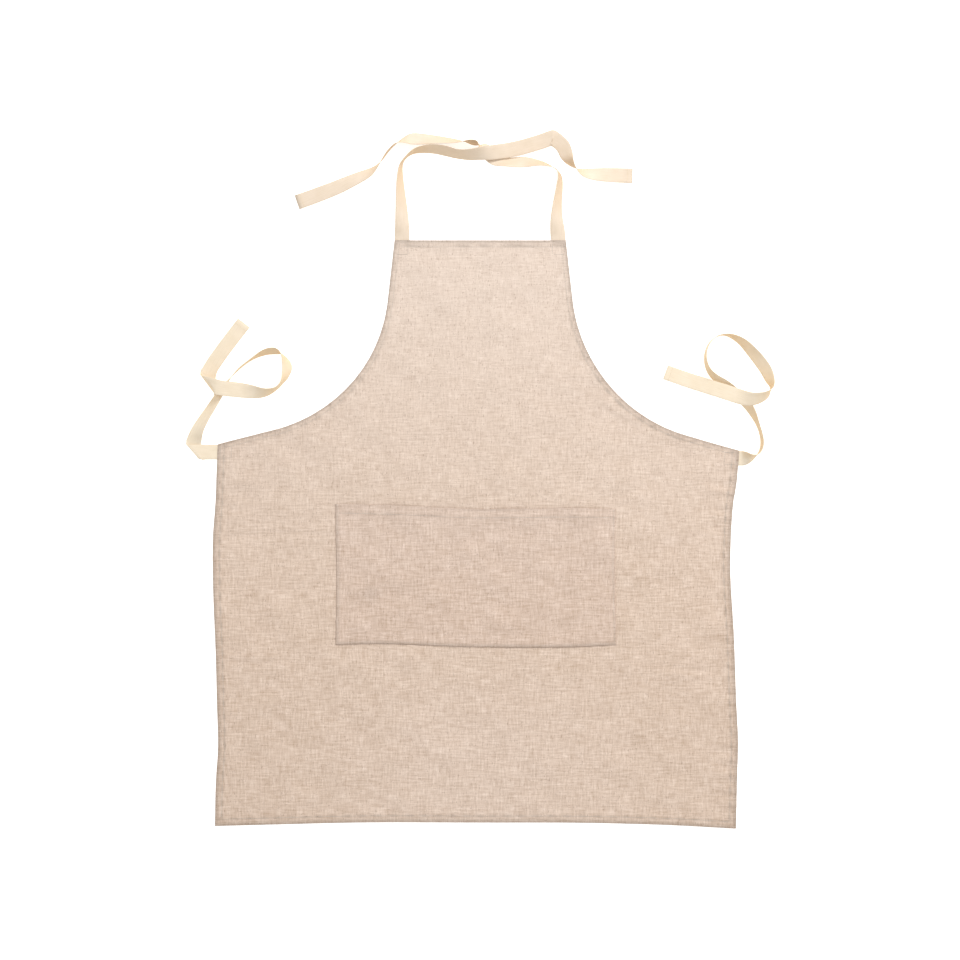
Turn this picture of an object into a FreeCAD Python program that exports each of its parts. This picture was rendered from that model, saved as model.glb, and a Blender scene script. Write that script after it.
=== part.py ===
"""Linen bib apron with four cotton tape ties, lying flat with its face up.  Units: millimetres.

Frame: +X to the right as seen from the front, +Y towards the bib, +Z out of the front.  The origin is the
middle of the apron's outline on the surface it lies on; the free ties are left out of that middle.

Layers, from the surface up: the turned hems and the sewn-in tabs of the ties, the panel, the folded edges
of the pocket, the pocket, and the sewing threads on top of what they hold.
"""
import FreeCAD, Part
import math
import os

import Sketcher

V = FreeCAD.Vector

DRIVING = {
    "body_width": 700.0,        # widest, across the skirt
    "body_height": 785.0,       # bottom edge to bib top
    "bib_width": 230.0,         # along the top edge
    "side_height": 508.0,       # bottom edge to the corner below the armhole
    "bib_flare": 6.5,           # degrees the bib's sides lean out
    "shoulder_drop": 15.0,      # degrees the armhole's lower end slopes down
    "armhole_radius": 206.0,
    "cloth": 0.5,               # thickness of one layer of linen
    "hem_layer": 1.0,           # two layers, turned under
    "hem_width": 10.0,
    "armhole_hem_width": 8.0,
    "tape_width": 20.0,
    "tape_layer": 1.0,          # thickness of the twill tape
    "tab_length": 24.0,         # how far a tie reaches in under the panel
    "pocket_width": 378.0,
    "pocket_height": 190.0,
    "pocket_rise": 240.0,       # pocket's bottom edge above the apron's
    "pocket_hem_width": 13.0,
    "turning_width": 10.0,      # edges of the pocket folded under before it is sewn on
    "thread": 0.6,
    "thread_rise": 0.3,
    "hem_seam": 9.0,            # seam's distance from a straight edge
    "armhole_seam": 7.0,
    "pocket_seam": 2.5,         # seam's distance from the pocket's sewn edges
    "tack_inset": 4.0,          # tack's distance from the edge that the tie leaves
    "end_seam_inset": 7.0,      # end seam's distance from a tie's free end
}

# Share of the shorter run that an arc takes on each side of its corner.
RUN_SHARE = 0.45
# Longest step between two cross-sections of a tie.
SECTION_STEP = 9.0

# Routes of the ties' centre lines: x, y, then how far the tape is turned from lying flat (0) towards standing
# on its edge (90 degrees), and how high it is lifted by what lies under it.
NECK_TIE_LEFT = [
    (-105.0, 367.5, 0, 0), (-105.0, 409.0, 5, 0), (-107.0, 457.0, 50, 0), (-101.0, 496.5, 78, 0),
    (-71.5, 513.0, 60, 0), (-34.0, 509.0, 45, 0), (6.5, 505.5, 15, 2), (53.5, 516.5, 15, 2),
    (102.0, 530.5, 10, 0), (123.5, 492.0, 70, 0), (163.5, 479.5, 15, 0), (204.5, 479.0, 0, 0),
]
NECK_TIE_RIGHT = [
    (105.0, 367.5, 0, 0), (104.5, 409.0, 5, 0), (106.0, 448.0, 55, 0), (106.5, 479.0, 72, 0),
    (84.5, 497.0, 55, 0), (46.5, 496.5, 20, 0), (10.5, 514.0, 0, 0), (-27.0, 526.5, 55, 0),
    (-67.5, 527.0, 45, 0), (-108.0, 526.0, 70, 0), (-133.5, 499.0, 80, 0), (-172.5, 473.5, 45, 0),
    (-208.5, 458.5, 20, 0), (-246.0, 443.5, 0, 0),
]
WAIST_TIE_LEFT = [
    (-326.0, 105.0, 0, 0), (-350.0, 105.0, 0, 0), (-374.0, 101.5, 5, 0), (-386.5, 121.0, 5, 0),
    (-367.0, 148.0, 30, 0), (-349.0, 177.5, 30, 0), (-327.0, 207.0, 40, 0), (-296.0, 233.5, 75, 0),
    (-263.0, 242.5, 70, 0), (-247.5, 216.5, 60, 0), (-265.0, 188.5, 35, 0), (-299.0, 186.0, 5, 14),
    (-332.5, 188.5, 0, 14), (-359.5, 187.0, 0, 8), (-370.0, 209.5, 0, 5), (-348.0, 232.0, 0, 2),
    (-329.5, 257.0, 0, 0), (-312.0, 278.0, 0, 0),
]
WAIST_TIE_RIGHT = [
    (326.0, 105.0, 0, 0), (351.5, 105.0, 5, 0), (377.0, 108.0, 40, 0), (388.5, 133.5, 75, 0),
    (374.0, 161.5, 60, 0), (354.0, 188.5, 35, 0), (327.0, 211.5, 35, 0), (305.0, 231.0, 75, 0),
    (305.0, 262.0, 80, 0), (326.0, 275.5, 78, 0), (355.5, 272.5, 60, 0), (377.0, 247.0, 45, 0),
    (396.5, 216.0, 45, 0), (396.0, 189.5, 45, 4), (369.0, 178.5, 15, 13), (338.0, 191.5, 0, 14),
    (307.0, 201.5, 0, 13), (280.0, 212.0, 0, 4), (254.0, 220.0, 0, 0),
]
TIES = {
    "neck_tie_left": NECK_TIE_LEFT,
    "neck_tie_right": NECK_TIE_RIGHT,
    "waist_tie_left": WAIST_TIE_LEFT,
    "waist_tie_right": WAIST_TIE_RIGHT,
}

doc = FreeCAD.newDocument("Apron")
parts = []


def make_sheet():
    sheet = doc.addObject("Spreadsheet::Sheet", "Dimensions")
    for row, (alias, value) in enumerate(DRIVING.items(), start=1):
        sheet.set(f"A{row}", alias)
        sheet.set(f"B{row}", str(value))
        sheet.setAlias(f"B{row}", alias)
    doc.recompute()
    return sheet


def keep(piece, label):
    piece.Label = label
    parts.append(piece)
    return piece


def on_sheet(text):
    """An expression with every driving dimension read from the spreadsheet."""
    for alias in sorted(DRIVING, key=len, reverse=True):
        text = text.replace(f"<{alias}>", f"Dimensions.{alias}")
    return text


def bind(piece, **expressions):
    for name, text in expressions.items():
        piece.setExpression(name.replace("__", "."), on_sheet(text))


def block(label, size, corner):
    """A box: its three sizes and its lowest corner are expressions of the driving dimensions."""
    box = doc.addObject("Part::Box", label)
    bind(box, Length=size[0], Width=size[1], Height=size[2])
    bind(box, Placement__Base__x=corner[0], Placement__Base__y=corner[1], Placement__Base__z=corner[2])
    return box


def add_line(sketch, start, end):
    return sketch.addGeometry(Part.LineSegment(V(*start), V(*end)), False)


def add_arc(sketch, centre, radius, first, last):
    """An arc that runs anticlockwise from angle first to angle last, in degrees."""
    circle = Part.Circle(V(*centre), V(0, 0, 1), radius)
    return sketch.addGeometry(Part.ArcOfCircle(circle, math.radians(first), math.radians(last)), False)


def new_body(label, level):
    """A body with one sketch on its own XY plane, lifted to the level that the expression gives."""
    body = doc.addObject("PartDesign::Body", label)
    sketch = body.newObject("Sketcher::SketchObject", label + "_outline")
    plane = next(f for f in body.Origin.OriginFeatures if f.Role == "XY_Plane")
    sketch.AttachmentSupport = [(plane, "")]
    sketch.MapMode = "FlatFace"
    bind(body, Placement__Base__y="-<body_height> / 2", Placement__Base__z=level)
    return body, sketch


def pad(body, sketch, height):
    feature = body.newObject("PartDesign::Pad", body.Name + "_pad")
    feature.Profile = sketch
    bind(feature, Length=height)
    body.Tip = feature
    return feature


def armhole(inset):
    """The armhole's line on the right side, set into the cloth by inset.

    It is a straight bib side, an arc and a straight shoulder.  Returns the bib end, the arc's two ends,
    the shoulder end and the arc's centre, with y measured from the bottom edge.
    """
    flare = math.radians(sheet.bib_flare)
    drop = math.radians(sheet.shoulder_drop)
    down = V(math.sin(flare), -math.cos(flare))
    along = V(math.cos(drop), -math.sin(drop))
    bib_end = V(sheet.bib_width / 2, sheet.body_height)
    shoulder_end = V(sheet.body_width / 2, sheet.side_height)
    turn = math.radians(90) - flare - drop
    gap = shoulder_end - bib_end
    reach = (gap.x * along.y - gap.y * along.x) / (down.x * along.y - down.y * along.x)
    corner = bib_end + down * reach
    tangent = sheet.armhole_radius * math.tan(turn / 2)
    arc_top = corner - down * tangent
    arc_low = corner + along * tangent
    into_side = V(down.y, -down.x)
    into_shoulder = V(along.y, -along.x)
    centre = arc_top - into_side * sheet.armhole_radius
    return (bib_end + into_side * inset, arc_top + into_side * inset,
            arc_low + into_shoulder * inset, shoulder_end + into_shoulder * inset, centre)


def apron_panel():
    """The cloth, cut on the fold: one half is padded and mirrored about the middle."""
    body, sketch = new_body("apron_panel", "<hem_layer>")
    bib_end, arc_top, arc_low, shoulder_end, centre = armhole(0.0)
    half = sheet.body_width / 2
    fold_foot = (0.0, 0.0, 0.0)
    fold_head = (0.0, sheet.body_height, 0.0)
    bottom = add_line(sketch, fold_foot, (half, 0.0, 0.0))
    side = add_line(sketch, (half, 0.0, 0.0), shoulder_end)
    shoulder = add_line(sketch, shoulder_end, arc_low)
    first, last = sheet.bib_flare + 180, 270 - sheet.shoulder_drop
    curve = add_arc(sketch, centre, sheet.armhole_radius, first, last)
    bib_side = add_line(sketch, arc_top, bib_end)
    top = add_line(sketch, bib_end, fold_head)
    fold = add_line(sketch, fold_head, fold_foot)
    rules = [
        Sketcher.Constraint("Coincident", bottom, 1, -1, 1),
        Sketcher.Constraint("Coincident", bottom, 2, side, 1),
        Sketcher.Constraint("Coincident", side, 2, shoulder, 1),
        Sketcher.Constraint("Tangent", shoulder, 2, curve, 2),
        Sketcher.Constraint("Tangent", curve, 1, bib_side, 1),
        Sketcher.Constraint("Coincident", bib_side, 2, top, 1),
        Sketcher.Constraint("Coincident", top, 2, fold, 1),
        Sketcher.Constraint("Coincident", fold, 2, bottom, 1),
        Sketcher.Constraint("Horizontal", bottom),
        Sketcher.Constraint("Vertical", side),
        Sketcher.Constraint("Horizontal", top),
        Sketcher.Constraint("Vertical", fold),
    ]
    sketch.addConstraint(rules)
    sizes = {
        "half_width": (("DistanceX", bottom, 1, bottom, 2, half), "<body_width> / 2"),
        "side": (("DistanceY", side, 1, side, 2, sheet.side_height), "<side_height>"),
        "height": (("DistanceY", fold, 2, fold, 1, sheet.body_height), "<body_height>"),
        "half_bib": (("DistanceX", top, 2, top, 1, sheet.bib_width / 2), "<bib_width> / 2"),
        "radius": (("Radius", curve, sheet.armhole_radius), "<armhole_radius>"),
    }
    for name, (rule, expression) in sizes.items():
        index = sketch.addConstraint(Sketcher.Constraint(*rule))
        sketch.renameConstraint(index, name)
        sketch.setExpression("Constraints." + name, on_sheet(expression))
    half_panel = pad(body, sketch, "<cloth>")
    mirror = body.newObject("PartDesign::Mirrored", "other_half")
    mirror.Originals = [half_panel]
    mirror.MirrorPlane = (sketch, ["V_Axis"])
    body.Tip = mirror
    return keep(body, "apron_panel")


def armhole_strip(label, side, near, far, height, level):
    """A strip along the armhole of one side (+1 right, -1 left), between two insets from its edge.

    It stops short of the tabs of the ties at both ends.
    """
    body, sketch = new_body(label, level)
    outer = armhole(near)
    inner = armhole(far)
    margin = sheet.tab_length + 2.0
    bib_stop = (outer[1] - outer[0]).normalize() * margin
    shoulder_stop = (outer[2] - outer[3]).normalize() * margin

    def place(point):
        return (side * point.x, point.y, 0.0)

    def arc(line, inset):
        first, last = sheet.bib_flare + 180, 270 - sheet.shoulder_drop
        if side < 0:
            first, last = 180 - last, 180 - first
        radius = sheet.armhole_radius + inset
        index = add_arc(sketch, place(line[4]), radius, first, last)
        return index, radius

    outer_bib = add_line(sketch, place(outer[0] + bib_stop), place(outer[1]))
    outer_arc, outer_radius = arc(outer, near)
    outer_shoulder = add_line(sketch, place(outer[2]), place(outer[3] + shoulder_stop))
    end = add_line(sketch, place(outer[3] + shoulder_stop), place(inner[3] + shoulder_stop))
    inner_shoulder = add_line(sketch, place(inner[3] + shoulder_stop), place(inner[2]))
    inner_arc, inner_radius = arc(inner, far)
    inner_bib = add_line(sketch, place(inner[1]), place(inner[0] + bib_stop))
    start = add_line(sketch, place(inner[0] + bib_stop), place(outer[0] + bib_stop))
    top_end, low_end = (1, 2) if side > 0 else (2, 1)
    sketch.addConstraint([
        Sketcher.Constraint("Tangent", outer_bib, 2, outer_arc, top_end),
        Sketcher.Constraint("Tangent", outer_arc, low_end, outer_shoulder, 1),
        Sketcher.Constraint("Coincident", outer_shoulder, 2, end, 1),
        Sketcher.Constraint("Coincident", end, 2, inner_shoulder, 1),
        Sketcher.Constraint("Tangent", inner_shoulder, 2, inner_arc, low_end),
        Sketcher.Constraint("Tangent", inner_arc, top_end, inner_bib, 1),
        Sketcher.Constraint("Coincident", inner_bib, 2, start, 1),
        Sketcher.Constraint("Coincident", start, 2, outer_bib, 1),
    ])
    for name, index, radius in (("outer", outer_arc, outer_radius), ("inner", inner_arc, inner_radius)):
        rule = sketch.addConstraint(Sketcher.Constraint("Radius", index, radius))
        sketch.renameConstraint(rule, name + "_radius")
        inset = radius - sheet.armhole_radius
        sketch.setExpression(f"Constraints.{name}_radius", f"Dimensions.armhole_radius + {inset:g}")
    pad(body, sketch, height)
    return keep(body, label)


def hems():
    """The panel's edges, folded twice to the back; they stop where the ties' tabs are sewn in."""
    keep(block("bib_hem", ("<bib_width> - 2 * <tape_width> - 2", "<hem_width>", "<hem_layer>"),
               ("-<bib_width> / 2 + <tape_width> + 1", "<body_height> / 2 - <hem_width>", "0")), "bib_hem")
    keep(block("bottom_hem", ("<body_width>", "<hem_width>", "<hem_layer>"),
               ("-<body_width> / 2", "-<body_height> / 2", "0")), "bottom_hem")
    side_length = "<side_height> - <hem_width> - <tape_width> - 3"
    for side, left_edge in (("left", "-<body_width> / 2"), ("right", "<body_width> / 2 - <hem_width>")):
        keep(block("side_hem_" + side, ("<hem_width>", side_length, "<hem_layer>"),
                   (left_edge, "-<body_height> / 2 + <hem_width>", "0")), "side_hem_" + side)
    for name, side in (("left", -1), ("right", 1)):
        armhole_strip("armhole_hem_" + name, side, 0.0, sheet.armhole_hem_width, "<hem_layer>", "0")


def pocket():
    """A patch pocket: its sides and bottom are folded under twice and sewn down, its mouth is hemmed."""
    left = "-<pocket_width> / 2"
    foot = "<pocket_rise> - <body_height> / 2"
    face = "<hem_layer> + <cloth>"
    top_face = face + " + 2 * <cloth>"
    keep(block("pocket_panel", ("<pocket_width>", "<pocket_height>", "<cloth>"),
               (left, foot, top_face)), "pocket_panel")
    mouth = foot + " + <pocket_height> - <pocket_hem_width>"
    keep(block("pocket_mouth_hem", ("<pocket_width> - 2 * <turning_width>", "<pocket_hem_width>", "<cloth>"),
               (left + " + <turning_width>", mouth, face + " + <cloth>")), "pocket_mouth_hem")
    sides = {"left": left, "right": "<pocket_width> / 2 - <turning_width>"}
    for side, edge in sides.items():
        keep(block("pocket_turning_" + side, ("<turning_width>", "<pocket_height>", "2 * <cloth>"),
                   (edge, foot, face)), "pocket_turning_" + side)
    keep(block("pocket_turning_bottom", ("<pocket_width> - 2 * <turning_width>", "<turning_width>",
                                         "2 * <cloth>"),
               (left + " + <turning_width>", foot, face)), "pocket_turning_bottom")


def seam_row(label, across, length, corner, level):
    """One row of sewing thread along X ("x") or Y ("y")."""
    size = (length, "<thread>") if across == "x" else ("<thread>", length)
    return block(label, (size[0], size[1], "<thread_rise>"), (corner[0], corner[1], level))


def threads():
    """The sewing threads, as the raised rows they make on the face of the cloth."""
    face = "<hem_layer> + <cloth>"
    low_edge = "-<body_height> / 2"
    row = seam_row("bib_hem_thread", "x", "<bib_width> - 2 * <armhole_seam> - 4",
                   ("-<bib_width> / 2 + <armhole_seam> + 2", "<body_height> / 2 - <hem_seam>"), face)
    keep(row, "bib_hem_thread")
    row = seam_row("bottom_hem_thread", "x", "<body_width> - 2 * <hem_seam> - 2",
                   ("-<body_width> / 2 + <hem_seam> + 1", low_edge + " + <hem_seam>"), face)
    keep(row, "bottom_hem_thread")
    for side, edge in (("left", "-<body_width> / 2 + <hem_seam>"),
                       ("right", "<body_width> / 2 - <hem_seam> - <thread>")):
        row = seam_row("side_hem_thread_" + side, "y", "<side_height> - <hem_seam> - <tape_width> - 6",
                       (edge, low_edge + " + <hem_seam> + 2"), face)
        keep(row, "side_hem_thread_" + side)
    for name, side in (("left", -1), ("right", 1)):
        seam = sheet.armhole_seam
        armhole_strip("armhole_thread_" + name, side, seam, seam + sheet.thread, "<thread_rise>", face)

    pocket_face = face + " + 3 * <cloth>"
    left = "-<pocket_width> / 2 + <pocket_seam>"
    foot = "<pocket_rise> - <body_height> / 2 + <pocket_seam>"
    rows = [
        seam_row("pocket_row_left", "y", "<pocket_height> - <pocket_seam>", (left, foot), pocket_face),
        seam_row("pocket_row_right", "y", "<pocket_height> - <pocket_seam>",
                 ("<pocket_width> / 2 - <pocket_seam> - <thread>", foot), pocket_face),
        seam_row("pocket_row_bottom", "x", "<pocket_width> - 2 * <pocket_seam>", (left, foot), pocket_face),
    ]
    fused = doc.addObject("Part::MultiFuse", "pocket_thread")
    fused.Shapes = rows
    keep(fused, "pocket_thread")
    row = seam_row("pocket_mouth_thread", "x", "<pocket_width> - 2 * <pocket_seam> - 4",
                   (left + " + 2", foot + " + <pocket_height> - <pocket_seam> - <pocket_hem_width> + 1"),
                   pocket_face)
    keep(row, "pocket_mouth_thread")


def tacks():
    """The row of thread that holds each tie's tab behind the panel, across the tape."""
    face = "<hem_layer> + <cloth>"
    row_length = "<tape_width> - 4"
    for side, edge in (("left", "-<bib_width> / 2 + 2"), ("right", "<bib_width> / 2 - <tape_width> + 2")):
        row = seam_row(f"neck_tie_{side}_tack", "x", row_length,
                       (edge, "<body_height> / 2 - <tack_inset>"), face)
        keep(row, f"neck_tie_{side}_tack")
    for side, edge in (("left", "-<body_width> / 2 + <tack_inset>"),
                       ("right", "<body_width> / 2 - <tack_inset> - <thread>")):
        row = seam_row(f"waist_tie_{side}_tack", "y", row_length,
                       (edge, "<side_height> - <body_height> / 2 - <tape_width> - 0.5"), face)
        keep(row, f"waist_tie_{side}_tack")


def rounded_path(points):
    """Straight runs joined by tangent arcs, and the arcs' radii."""
    edges, radii = [], []
    start = points[0]
    for before, corner, after in zip(points, points[1:], points[2:]):
        arriving, leaving = corner - before, after - corner
        reach = RUN_SHARE * min(arriving.Length, leaving.Length)
        half_turn = arriving.getAngle(leaving) / 2
        radius = reach / math.tan(half_turn)
        arc_start = corner - arriving.normalize() * reach
        arc_end = corner + leaving.normalize() * reach
        inward = ((arc_start + arc_end) / 2 - corner).normalize()
        middle = corner + inward * (radius / math.cos(half_turn) - radius)
        edges.append(Part.LineSegment(start, arc_start).toShape())
        edges.append(Part.Arc(arc_start, middle, arc_end).toShape())
        radii.append(radius)
        start = arc_end
    edges.append(Part.LineSegment(start, points[-1]).toShape())
    return Part.Wire(edges), radii


def tape_section(centre, heading, lift):
    """The tape's rectangular section: its lower edge rests on what lies under it."""
    half_width, half_layer = sheet.tape_width / 2, sheet.tape_layer / 2
    level_side = V(-heading.y, heading.x, 0).normalize()
    upright = heading.cross(level_side)
    rise = min(max((centre.z - half_layer - lift) / half_width, 0.0), 1.0)
    turn = math.asin(rise)
    across = level_side * math.cos(turn) + upright * math.sin(turn)
    through = heading.cross(across)
    corners = [centre + across * (a * half_width) + through * (b * half_layer)
               for a, b in ((-1, -1), (1, -1), (1, 1), (-1, 1))]
    return Part.makePolygon(corners + corners[:1])


def tie(label, route):
    """A tie: the tape follows its route, flat at the tab, and turns on edge where the route says."""
    half_width, half_layer = sheet.tape_width / 2, sheet.tape_layer / 2
    points = [V(x, y, lift + half_layer + half_width * math.sin(math.radians(turn)))
              for x, y, turn, lift in route]
    path, radii = rounded_path(points)
    lifts = [lift for _, _, _, lift in route]

    def lift_at(place):
        """What lies under the tape, between the two route points nearest along the route."""
        best = min(range(len(points) - 1), key=lambda i: place.distanceToLineSegment(points[i],
                                                                                    points[i + 1]).Length)
        run = points[best + 1] - points[best]
        share = min(max((place - points[best]).dot(run) / run.dot(run), 0.0), 1.0)
        return lifts[best] + share * (lifts[best + 1] - lifts[best])

    sections = []
    for number, edge in enumerate(path.Edges):
        steps = max(2, math.ceil(edge.Length / SECTION_STEP))
        for step in range(0 if number == 0 else 1, steps + 1):
            where = edge.FirstParameter + (edge.LastParameter - edge.FirstParameter) * step / steps
            centre, heading = edge.valueAt(where), edge.tangentAt(where)
            sections.append(tape_section(centre, heading, lift_at(centre)))
    piece = doc.addObject("Part::Feature", label)
    piece.Shape = Part.makeLoft(sections, True, True)
    piece.Placement = FreeCAD.Placement()
    expected = sheet.tape_width * sheet.tape_layer * path.Length
    print(f"{label}: length {path.Length:.0f}, volume {piece.Shape.Volume:.0f} of {expected:.0f}, radii",
          " ".join(f"{radius:.0f}" for radius in radii))
    keep(piece, label)
    end_seam(label, points)


def end_seam(label, points):
    """The row of thread across a tie's hemmed free end, a box turned to lie along the end."""
    end, before = points[-1], points[-2]
    back = (before - end).normalize()
    across = V(-back.y, back.x, 0)
    row = doc.addObject("Part::Box", label + "_end_thread")
    bind(row, Length="<tape_width> - 3", Width="<thread>", Height="<thread_rise>")
    start = end + back * sheet.end_seam_inset - across * (sheet.tape_width / 2 - 1.5)
    start.z = sheet.tape_layer
    row.Placement = FreeCAD.Placement(start, FreeCAD.Rotation(V(1, 0, 0), across))
    keep(row, label + "_end_thread")


def check_document():
    doc.recompute()
    for item in doc.Objects:
        if "Invalid" in item.State or "Error" in item.State:
            raise RuntimeError(f"{item.Label} failed: {item.State}")
    for piece in parts:
        if piece.Shape.isNull() or not piece.Shape.isValid() or piece.Shape.Volume <= 0:
            raise RuntimeError(f"{piece.Label} has no valid solid")


sheet = make_sheet()
apron_panel()
hems()
pocket()
threads()
tacks()
for tie_name, tie_route in TIES.items():
    tie(tie_name, tie_route)
check_document()
os.makedirs("parts", exist_ok=True)
for piece in parts:
    piece.Shape.exportStep(f"parts/{piece.Label}.step")
print(len(parts), "sub-parts written")
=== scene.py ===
"""A linen bib apron with four cotton tape ties, laid flat with its face up on a pale floor.

The shapes are worked out in millimetres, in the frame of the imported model, and go into Blender in metres.
Every sewn piece is drawn flat first, as it was cut, and then laid: lay() shifts it sideways as real cloth
lies, and cloth_height() gives the height of the middle of the cloth above the floor.
"""
import math

import bmesh
import bpy
import numpy as np
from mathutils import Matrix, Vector
from mathutils.geometry import delaunay_2d_cdt


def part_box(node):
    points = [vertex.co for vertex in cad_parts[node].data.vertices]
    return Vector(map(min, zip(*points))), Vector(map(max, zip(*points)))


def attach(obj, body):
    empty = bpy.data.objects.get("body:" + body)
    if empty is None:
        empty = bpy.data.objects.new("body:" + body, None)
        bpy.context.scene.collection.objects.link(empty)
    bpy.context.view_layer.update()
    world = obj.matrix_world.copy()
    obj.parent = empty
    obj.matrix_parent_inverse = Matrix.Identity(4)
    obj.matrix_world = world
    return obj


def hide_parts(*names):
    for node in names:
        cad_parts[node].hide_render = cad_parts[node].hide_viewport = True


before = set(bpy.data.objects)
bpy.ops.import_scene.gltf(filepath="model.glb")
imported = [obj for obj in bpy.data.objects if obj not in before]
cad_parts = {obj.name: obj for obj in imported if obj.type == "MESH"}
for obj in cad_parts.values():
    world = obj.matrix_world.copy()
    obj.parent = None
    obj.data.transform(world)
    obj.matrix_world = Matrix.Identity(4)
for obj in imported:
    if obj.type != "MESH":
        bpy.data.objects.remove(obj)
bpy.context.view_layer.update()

MM = 0.001
rng = np.random.default_rng(7)


def node_box(node):
    """Lowest and highest corner of a CAD node, in millimetres."""
    low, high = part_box(node)
    return np.array(low) / MM, np.array(high) / MM


panel_low, panel_high = node_box("apron_panel")
pocket_low, pocket_high = node_box("pocket_panel")
bib_hem_low, bib_hem_high = node_box("bib_hem")
side_hem_high = node_box("side_hem_left")[1]

HALF_WIDTH = panel_high[0]
TOP, BOTTOM = panel_high[1], panel_low[1]
CLOTH = panel_high[2] - panel_low[2]
HEM_WIDTH = bib_hem_high[1] - bib_hem_low[1]
HEM_LAYER = bib_hem_high[2] - bib_hem_low[2]
TAPE_WIDTH = 20.0
TAPE_LAYER = 0.9
TAPE_END = 1.9
HALF_BIB = 115.0
SHOULDER = BOTTOM + 508.0
FLARE = math.radians(6.5)
DROP = math.radians(15.0)
ARMHOLE_RADIUS = 206.0
ARMHOLE_HEM = 8.0
POCKET_HALF = pocket_high[0]
POCKET_FOOT, POCKET_MOUTH = pocket_low[1], pocket_high[1]
TURNING = 10.0
MOUTH_HEM = 13.0
SEAM = 9.0
ARMHOLE_SEAM = 7.0
POCKET_SEAM = 2.5
GRID = 3.2
RIM = 1.2            # width of the cloth's rounded edge, outside the triangles' grid
HEM_START = 1.0      # from the cloth's edge to the outer edge of the strip turned under it
LAYER_GAP = 0.02     # between two layers of cloth, and between a thread and the floor
TAB_CLEAR = 26.0     # how far an armhole's hem stops from the armhole's ends, clear of the tabs
THREAD = 0.31
THREAD_SIDES = 6
END_FOLD = (9.6, 8.6)    # where a tie's doubled end begins and is full, from the end
END_SEAM = 7.0
SIDES = (("left", -1), ("right", 1))


# ------------ camera, light and floor

def stage_and_camera():
    scene = bpy.context.scene
    scene.view_settings.view_transform = "Standard"
    scene.cycles.use_denoising = True

    def placed(name, data, place):
        thing = bpy.data.objects.new(name, data)
        thing.location = place
        scene.collection.objects.link(thing)
        return thing

    lens = bpy.data.cameras.new("camera")
    lens.lens = 90.0
    lens.sensor_width = 36.0
    lens.clip_end = 50.0
    view_width = 1.290
    scene.camera = placed("camera", lens, (0.0047, 0.0704, view_width * lens.lens / lens.sensor_width))

    world = bpy.data.worlds.new("studio")
    world.use_nodes = True
    backdrop = world.node_tree.nodes["Background"]
    backdrop.inputs["Color"].default_value = (1.0, 1.0, 1.0, 1.0)
    backdrop.inputs["Strength"].default_value = 0.88
    scene.world = world

    light = bpy.data.lights.new("key", "AREA")
    light.shape = "RECTANGLE"
    light.size, light.size_y = 1.5, 0.9
    light.energy = 47.0
    key = placed("key", light, (0.9, 1.9, 1.8))
    aim = Vector((0.0, 0.15, 0.0)) - key.location
    key.rotation_euler = aim.to_track_quat("-Z", "Y").to_euler()

    mesh = bpy.data.meshes.new("floor")
    reach = 6.0
    mesh.from_pydata([(-reach, -reach, 0), (reach, -reach, 0), (reach, reach, 0), (-reach, reach, 0)],
                     [], [(0, 1, 2, 3)])
    floor = placed("floor", mesh, (0.0, 0.0, -0.0002))
    pale = bpy.data.materials.new("pale_floor")
    pale.use_nodes = True
    shader = pale.node_tree.nodes["Principled BSDF"]
    for socket, value in (("Base Color", (0.93, 0.93, 0.93, 1.0)), ("Roughness", 0.9),
                          ("Specular IOR Level", 0.1), ("Emission Color", (1.0, 1.0, 1.0, 1.0)),
                          ("Emission Strength", 0.55)):
        shader.inputs[socket].default_value = value
    mesh.materials.append(pale)


# ------------ flat shapes, in millimetres

def smooth(low, high, value):
    """0 below low, 1 above high, and smooth between them; low may be the larger of the two."""
    share = np.clip((value - low) / (high - low), 0.0, 1.0)
    return share * share * (3.0 - 2.0 * share)


def unit(vectors):
    return vectors / np.linalg.norm(vectors, axis=1)[:, None]


def walk_along(line):
    """The way along a line of points, at each of them."""
    return np.concatenate([[0], np.cumsum(np.linalg.norm(np.diff(line, axis=0), axis=1))])


def bell(distance, width):
    """1 where distance is 0, and falling off within about width on both sides."""
    return np.exp(-(distance / width) ** 2)


def direction(angle):
    return np.array([math.cos(angle), math.sin(angle)])


DOWN_BIB = np.array([math.sin(FLARE), -math.cos(FLARE)])
ALONG_SHOULDER = np.array([math.cos(DROP), -math.sin(DROP)])
INTO_SIDE = np.array([DOWN_BIB[1], -DOWN_BIB[0]])
INTO_SHOULDER = np.array([ALONG_SHOULDER[1], -ALONG_SHOULDER[0]])
BIB_END = np.array([HALF_BIB, TOP])
SHOULDER_END = np.array([HALF_WIDTH, SHOULDER])
ARC_FIRST = math.pi + FLARE
ARC_LAST = 1.5 * math.pi - DROP


def armhole_corner():
    """Where the bib's side and the shoulder line would meet."""
    gap = SHOULDER_END - BIB_END
    cross = DOWN_BIB[0] * ALONG_SHOULDER[1] - DOWN_BIB[1] * ALONG_SHOULDER[0]
    reach = (gap[0] * ALONG_SHOULDER[1] - gap[1] * ALONG_SHOULDER[0]) / cross
    return BIB_END + DOWN_BIB * reach


CORNER = armhole_corner()
TANGENT = ARMHOLE_RADIUS * math.tan((ARC_LAST - ARC_FIRST) / 2)
ARC_TOP = CORNER - DOWN_BIB * TANGENT
ARC_LOW = CORNER + ALONG_SHOULDER * TANGENT
ARC_CENTRE = ARC_TOP - INTO_SIDE * ARMHOLE_RADIUS


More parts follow.
